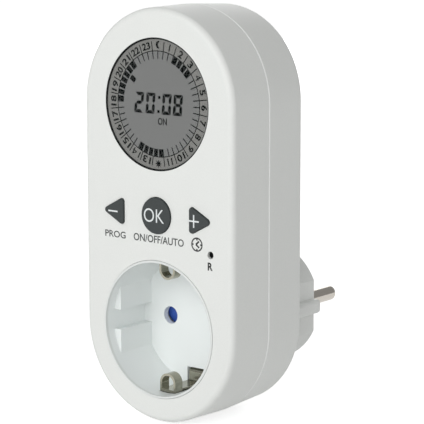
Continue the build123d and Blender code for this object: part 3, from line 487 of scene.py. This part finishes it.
def hour_mark_tree():
    """One tree for every run of radial marks on the dial."""
    tree = bpy.data.node_groups.new("radial_hour_marks", "GeometryNodeTree")
    tree.interface.new_socket("Geometry", in_out="OUTPUT", socket_type="NodeSocketGeometry")
    for name, kind in (("Marks", "NodeSocketInt"),
                       ("First hour", "NodeSocketFloat"), ("Hour step", "NodeSocketFloat"),
                       ("Inner radius", "NodeSocketFloat"), ("Outer radius", "NodeSocketFloat"),
                       ("Mark width", "NodeSocketFloat"), ("Mark thickness", "NodeSocketFloat"),
                       ("Dial centre", "NodeSocketVector"), ("Finish", "NodeSocketMaterial")):
        tree.interface.new_socket(name, in_out="INPUT", socket_type=kind)
    given = tree.nodes.new("NodeGroupInput").outputs
    number = add(tree, "GeometryNodeInputIndex")
    hours = add(tree, "ShaderNodeMath", {"operation": "MULTIPLY_ADD"},
                {0: number.outputs[0], 1: given["Hour step"], 2: given["First hour"]})
    angle = add(tree, "ShaderNodeMath", {"operation": "MULTIPLY", 1: hour_angle}, {0: hours.outputs[0]})
    reach = add(tree, "ShaderNodeMath", {"operation": "ADD"},
                {0: given["Inner radius"], 1: given["Outer radius"]})
    middle = add(tree, "ShaderNodeMath", {"operation": "MULTIPLY", 1: 0.5}, {0: reach.outputs[0]})
    length = add(tree, "ShaderNodeMath", {"operation": "SUBTRACT"},
                 {0: given["Outer radius"], 1: given["Inner radius"]})
    sine = add(tree, "ShaderNodeMath", {"operation": "SINE"}, {0: angle.outputs[0]})
    cosine = add(tree, "ShaderNodeMath", {"operation": "COSINE"}, {0: angle.outputs[0]})
    direction = add(tree, "ShaderNodeCombineXYZ", None, {"X": sine.outputs[0], "Z": cosine.outputs[0]})
    spoke = add(tree, "ShaderNodeVectorMath", {"operation": "SCALE"},
                {0: direction.outputs[0], "Scale": middle.outputs[0]})
    spot = add(tree, "ShaderNodeVectorMath", {"operation": "ADD"},
               {0: spoke.outputs[0], 1: given["Dial centre"]})
    turn = add(tree, "ShaderNodeCombineXYZ", None, {"Y": angle.outputs[0]})
    line = add(tree, "GeometryNodeMeshLine", None, {"Count": given["Marks"]})
    spread = add(tree, "GeometryNodeSetPosition", None,
                 {"Geometry": line.outputs[0], "Position": spot.outputs[0]})
    size = add(tree, "ShaderNodeCombineXYZ", None,
               {"X": given["Mark width"], "Y": given["Mark thickness"], "Z": length.outputs[0]})
    mark = add(tree, "GeometryNodeMeshCube", None, {"Size": size.outputs[0]})
    placed = add(tree, "GeometryNodeInstanceOnPoints", None,
                 {"Points": spread.outputs[0], "Instance": mark.outputs[0], "Rotation": turn.outputs[0]})
    real = add(tree, "GeometryNodeRealizeInstances", None, {0: placed.outputs[0]})
    dressed = add(tree, "GeometryNodeSetMaterial", None,
                  {"Geometry": real.outputs[0], "Material": given["Finish"]})
    result = tree.nodes.new("NodeGroupOutput")
    tree.links.new(dressed.outputs[0], result.inputs[0])
    return tree


marks_tree = hour_mark_tree()


def hour_marks(name, marks, first, step, inner, outer, width, depth, material):
    """Runs the tree for one row of marks and keeps the result as a plain mesh."""
    seed = bpy.data.objects.new(name + "_seed", bpy.data.meshes.new(name + "_seed"))
    scene.collection.objects.link(seed)
    modifier = seed.modifiers.new("marks", "NODES")
    modifier.node_group = marks_tree
    values = {"Marks": marks, "First hour": first, "Hour step": step, "Inner radius": inner * mm,
              "Outer radius": outer * mm, "Mark width": width * mm, "Mark thickness": mark_thickness * mm,
              "Dial centre": (artwork_middle.x, depth * mm, artwork_middle.z), "Finish": material}
    for item in marks_tree.interface.items_tree:
        if item.in_out == "INPUT":
            modifier[item.identifier] = values[item.name]
    bpy.context.view_layer.update()
    grown = seed.evaluated_get(bpy.context.evaluated_depsgraph_get())
    mesh = bpy.data.meshes.new_from_object(grown)
    mesh.name = name
    bpy.data.objects.remove(seed)
    piece = bpy.data.objects.new(name, mesh)
    scene.collection.objects.link(piece)
    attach(piece, "timer")


# ---------------------------------------------------------------- display

film = bmesh.new()
plate(film, circle(window_x, window_z, film_radius, fine_count), film_front, film_back)
finished("display_film", film, film_finish, "timer")

rims = bmesh.new()
round_hoop(rims, window_x, window_z, film_radius, rim_inner, mark_front, mark_back, fine_count)
round_hoop(rims, dial_x, dial_z, inner_circle_radius + circle_half_width,
           inner_circle_radius - circle_half_width, mark_front, mark_back, fine_count)
finished("dial_circles", rims, hour_mark_grey, "timer")

seal = bmesh.new()
round_hoop(seal, window_x, window_z, seal_outer, seal_inner, seal_front, seal_back, fine_count)
finished("window_seal", seal, seal_rubber, "timer")

# The window's edge is blackened, so that no light from the case shines into it.
edge_coat = bmesh.new()
round_hoop(edge_coat, window_x, window_z, coat_outer, coat_inner, seal_front, film_back, fine_count)
finished("window_edge_coat", edge_coat, segment_black, "timer")

for name, first, marks in (("late_ticks", 21.5, 9), ("morning_ticks", 3.5, 17), ("afternoon_ticks", 14.0, 9)):
    hour_marks(name, marks, first, half_hour, tick_inner, tick_outer, tick_width, mark_middle, hour_mark_grey)
hour_marks("hour_separators", 24, half_hour, 1.0, tick_outer, separator_outer, separator_width, mark_middle,
           hour_mark_grey)
# A lit bar stands for each half hour that is switched on, a hair in front of the other marks.
bar_middle = mark_middle - 0.01
for name, first, marks in (("evening_bars", 18.25, 7), ("night_bars", 1.75, 4), ("noon_bars", 11.75, 5)):
    hour_marks(name, marks, first, half_hour, bar_inner, bar_outer, bar_width, bar_middle, segment_black)

# Thickening would fill the open middle of a 4, so it keeps the font's weight. A 1 and an 11 keep the font's
# proportions.
numeral_height = 2.1
one_figure_width, two_figure_width = 1.6, 3.0
numeral_weight = 0.03
numerals = bmesh.new()
for hour in range(1, 24):
    if hour != 12:
        letters(numerals, str(hour), numeral_height, on_dial(hour, numeral_radius), mark_front, mark_back,
                width=None if hour in (1, 11) else one_figure_width if hour < 10 else two_figure_width,
                weight=0.0 if "4" in str(hour) else numeral_weight, turn=hour * hour_angle)
finished("dial_numerals", numerals, hour_mark_grey, "timer")

# A crescent stands for midnight, a sun with eight rays for noon, and a short thick pointer for the hour.
signs = bmesh.new()
moon_x, moon_z = on_dial(0, moon_radius)
back_of_moon = arc(moon_x + 0.35, moon_z, 1.1, 1.1, 80, 280, 16)
inside_of_moon = arc(moon_x + 1.05, moon_z, 1.0, 0.92, 240, 120, 12)
plate(signs, back_of_moon + inside_of_moon, mark_front, mark_back)
sun = on_dial(12, sun_radius)
sun_disc = 0.68
ray_inner, ray_outer, ray_width = 0.6, 1.05, 0.28
plate(signs, circle(*sun, sun_disc, 20), mark_front, mark_back)
spokes(signs, sun, 8, ray_inner, ray_outer, ray_width, mark_front, mark_back)
pointer_hour = 20.39
pointer = stroke(on_dial(pointer_hour, pointer_inner), on_dial(pointer_hour, pointer_outer), pointer_width)
plate(signs, pointer, mark_front, mark_back)
finished("dial_signs", signs, segment_black, "timer")

# The time of day, 20:08, in slanted seven-segment digits: sizes and places in mm.
digit_width = 3.3
digit_height = 6.0
digits_bottom = 62.85
segment_width = 1.0
segment_gap = 0.10
lean = math.tan(math.radians(5))
colon_x = 0.1
colon_heights = (4.4, 0.35)
colon_dot = 0.85


def segment_outlines():
    """The seven bars of a digit with its lower left corner at the origin, named a to g as usual."""
    w, h, t, g = digit_width, digit_height, segment_width, segment_gap
    middle = h / 2
    upper_left = [(0, h - g), (t, h - t - g), (t, middle + t / 2 + g), (t / 2, middle + g),
                  (0, middle + t / 2 + g)]
    top = [(g, h), (w - g, h), (w - t - g, h - t), (t + g, h - t)]
    centre = [(t / 2 + g, middle), (t + g, middle + t / 2), (w - t - g, middle + t / 2),
              (w - t / 2 - g, middle), (w - t - g, middle - t / 2), (t + g, middle - t / 2)]
    right = [(w - x, z) for x, z in upper_left]
    return {"a": top, "b": right, "c": [(x, h - z) for x, z in right], "d": [(x, h - z) for x, z in top],
            "e": [(x, h - z) for x, z in upper_left], "f": upper_left, "g": centre}


lit = {"2": "abged", "0": "abcdef", "8": "abcdefg"}
time_of_day = bmesh.new()
for figure, left in (("2", -8.55), ("0", -4.3), ("0", 1.7), ("8", 5.8)):
    for part in lit[figure]:
        outline = [(left + x + lean * z, digits_bottom + z) for x, z in segment_outlines()[part]]
        plate(time_of_day, outline, mark_front, mark_back)
for height in colon_heights:
    x, z = colon_x + lean * height, digits_bottom + height
    plate(time_of_day, [(x, z), (x + colon_dot, z), (x + colon_dot, z + colon_dot), (x, z + colon_dot)],
          mark_front, mark_back)
letters(time_of_day, "ON", 2.0, (2.0, 60.85), mark_front, mark_back, width=3.3, weight=0.02)
finished("time_segments", time_of_day, segment_black, "timer")

# ---------------------------------------------------------------- printing on the face and the keys

# The ink stands proud of its surface and bites into it, in mm. A stroke that crosses another is a little
# thicker, so that no two faces coincide.
ink_proud = 0.015
ink_bite = 0.02
crossing = 0.001
ink_front = face_mm - ink_proud
ink_back = face_mm + ink_bite

printing = bmesh.new()
for text, height, middle, width, weight in (("PROG", 2.0, (-15.85, 26.5), 7.9, 0.012),
                                            ("ON/OFF/AUTO", 2.2, (0.6, 26.6), 18.8, 0.014)):
    letters(printing, text, height, middle, ink_front, ink_back, width=width, weight=weight)
finished("face_printing", printing, pad_print_grey, "timer")

symbols = bmesh.new()
letters(symbols, "R", 2.3, (19.6, 21.0), ink_front, ink_back, width=1.8, weight=0.035)
# A clock with four hour marks and two hands, which start a little to the left of its middle.
clock = (14.8, 26.8)
clock_radius = 2.05
clock_line = 0.42
clock_mark_inner, clock_mark_outer, clock_mark_width = 1.2, 1.8, 0.50
hand_start, hand_width = -0.35, 0.52
round_hoop(symbols, *clock, clock_radius, clock_radius - clock_line, ink_front, ink_back, 64)
spokes(symbols, clock, 4, clock_mark_inner, clock_mark_outer, clock_mark_width,
       ink_front - crossing, ink_back + crossing)
for tip_x, tip_z in ((0.75, 1.0), (0.8, -0.85)):
    hand = stroke((clock[0] + hand_start, clock[1]), (clock[0] + tip_x, clock[1] + tip_z), hand_width)
    plate(symbols, hand, ink_front - crossing, ink_back + crossing)
finished("face_symbols", symbols, pad_print_black, "timer")

# The keys' signs in mm: x from the casing's middle, and heights from the middle of the row.
key_row = sum(corner.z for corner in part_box("key_ok")) / 2 / mm
sign_width = 0.45
minus_left, minus_right, minus_height = -17.9, -14.3, -0.2
plus_left, plus_right, plus_height = 12.35, 16.05, -0.1
plus_x, plus_bottom, plus_top = 14.2, -1.95, 1.75
for body in ("key_minus", "key_ok", "key_plus"):
    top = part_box(body)[0].y / mm
    front, back = top - ink_proud, top + ink_bite
    mark = bmesh.new()
    if body == "key_ok":
        letters(mark, "OK", 4.0, (-0.5, key_row), front, back, width=7.5, weight=-0.004)
    elif body == "key_minus":
        z = key_row + minus_height
        plate(mark, stroke((minus_left, z), (minus_right, z), sign_width), front, back)
    else:
        z = key_row + plus_height
        plate(mark, stroke((plus_left, z), (plus_right, z), sign_width), front, back)
        plate(mark, stroke((plus_x, key_row + plus_bottom), (plus_x, key_row + plus_top), sign_width),
              front - crossing, back + crossing)
    finished(body + "_mark", mark, pad_print_white, body)

# ---------------------------------------------------------------- reset hole

# A black lining behind the pinhole's white rim, down to the reset switch: painted shade for the dark depth of
# the hole.
pin_low, pin_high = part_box("reset_plunger")
hole_shade_x, hole_shade_z = (pin_low.x + pin_high.x) / 2 / mm, (pin_low.z + pin_high.z) / 2 / mm
hole_shade_outer, hole_shade_inner = 1.075, 1.01
hole_shade_front = face_mm + 0.9
hole_shade_lining = bmesh.new()
round_hoop(hole_shade_lining, hole_shade_x, hole_shade_z, hole_shade_outer, hole_shade_inner, hole_shade_front, pin_low.y / mm, 48)
finished("reset_hole_painted_shade", hole_shade_lining, matt_polystyrene, "timer")

# ---------------------------------------------------------------- parting line

def casing_outline(half_width):
    """The casing's outline at the parting line, inset to a half width: two round ends and straight sides."""
    low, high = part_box("rear_housing")
    radius = (high.x - low.x) / 2 / mm
    upper = arc(0, high.z / mm - radius, half_width, half_width, 0, 180, 64)
    lower = arc(0, low.z / mm + radius, half_width, half_width, 180, 360, 64)
    return upper + lower


# The rear shell's rim stands in the groove between the shells. Its outside rises from inside the groove at
# the front to the casing's surface at the back, and catches the light as a fine bright line, which a painted
# highlight in its colour makes brighter.
casing_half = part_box("rear_housing")[1].x / mm
front_shell_depth = 16.5
parting = face_mm + front_shell_depth
bead_front, bead_back = parting - 0.22, parting + 0.24
front_inset, back_inset, inside_inset = 0.32, 0.01, 0.40
bead = bmesh.new()
hoop(bead, casing_outline(casing_half - front_inset), casing_outline(casing_half - inside_inset),
     bead_front, bead_back, outer_back=casing_outline(casing_half - back_inset))
finished("parting_bead", bead, bead_painted_highlight, "timer")

# ---------------------------------------------------------------- floor, lamps and camera

# The floor lies half a millimetre below the casing and reaches 6 m each way.
floor_z = cad_box[0].z - 0.5 * mm
reach = 6.0
floor_mesh = bpy.data.meshes.new("studio_floor")
floor_mesh.from_pydata([(-reach, -reach, floor_z), (reach, -reach, floor_z), (reach, reach, floor_z),
                        (-reach, reach, floor_z)], [], [(0, 1, 2, 3)])
floor = bpy.data.objects.new("studio_floor", floor_mesh)
scene.collection.objects.link(floor)

# White painted board: the camera and reflections see it white, and a shadow still darkens it.
board_glow = 0.70
board, tree = empty_material("white_board")
path = add(tree, "ShaderNodeLightPath")
seen = add(tree, "ShaderNodeMath", {"operation": "MAXIMUM"},
           {0: path.outputs["Is Camera Ray"], 1: path.outputs["Is Glossy Ray"]})
matt = add(tree, "ShaderNodeBsdfDiffuse", {"Color": linear("#ececec")})
strength = add(tree, "ShaderNodeMath", {"operation": "MULTIPLY", 1: board_glow}, {0: seen.outputs[0]})
glow = add(tree, "ShaderNodeEmission", None, {"Strength": strength.outputs[0]})
total = add(tree, "ShaderNodeAddShader", None, {0: matt.outputs[0], 1: glow.outputs[0]})
add(tree, "ShaderNodeOutputMaterial", links={"Surface": total.outputs[0]})
floor_mesh.materials.append(board)

# A white backdrop for the camera and through the window, and a dimmer sky for all other rays.
sky_light = 0.42
world = bpy.data.worlds.new("studio")
scene.world = world
world.use_nodes = True
tree = world.node_tree
tree.nodes.clear()
path = add(tree, "ShaderNodeLightPath")
seen = add(tree, "ShaderNodeMath", {"operation": "MAXIMUM"},
           {0: path.outputs["Is Camera Ray"], 1: path.outputs["Is Transmission Ray"]})
strength = add(tree, "ShaderNodeMapRange", {"To Min": sky_light, "To Max": 1.0}, {0: seen.outputs[0]})
sky = add(tree, "ShaderNodeBackground", {"Color": (1, 1, 1, 1)}, {"Strength": strength.outputs[0]})
add(tree, "ShaderNodeOutputWorld", links={"Surface": sky.outputs[0]})


def soft_box(name, place, target, size, power):
    """A square lamp that faces a point: places and size in metres, power in watts."""
    lamp = bpy.data.lights.new(name, "AREA")
    lamp.shape = "SQUARE"
    lamp.size = size
    lamp.energy = power
    holder = bpy.data.objects.new(name, lamp)
    holder.location = place
    holder.rotation_mode = "QUATERNION"
    holder.rotation_quaternion = (Vector(target) - Vector(place)).to_track_quat("-Z", "Y")
    scene.collection.objects.link(holder)


soft_box("key_lamp", (-0.15, -1.35, 0.62), (0, -0.03, 0.03), 0.9, 7.2)
soft_box("fill_lamp", (0.80, -1.25, 0.35), (0, -0.03, 0.03), 0.6, 4.8)
soft_box("back_lamp", (-0.80, 1.10, 0.40), (0, 0, 0.03), 0.8, 3.6)

# A long lens that looks at the timer from the front right and slightly from above.
camera = bpy.data.cameras.new("camera")
camera.lens = 159.53
camera.sensor_width = 36.0
camera.clip_start = 0.01
camera.clip_end = 50.0
viewer = bpy.data.objects.new("camera", camera)
viewer.location = (0.34313, -0.46240, 0.12390)
viewer.rotation_mode = "QUATERNION"
looking = Vector((-0.61300, 0.77256, -0.16549)).to_track_quat("-Z", "Y")
roll = Matrix.Rotation(math.radians(-0.084), 4, "Z").to_quaternion()
viewer.rotation_quaternion = looking @ roll
scene.collection.objects.link(viewer)
scene.camera = viewer
scene.view_settings.view_transform = "Standard"

bpy.context.view_layer.update()
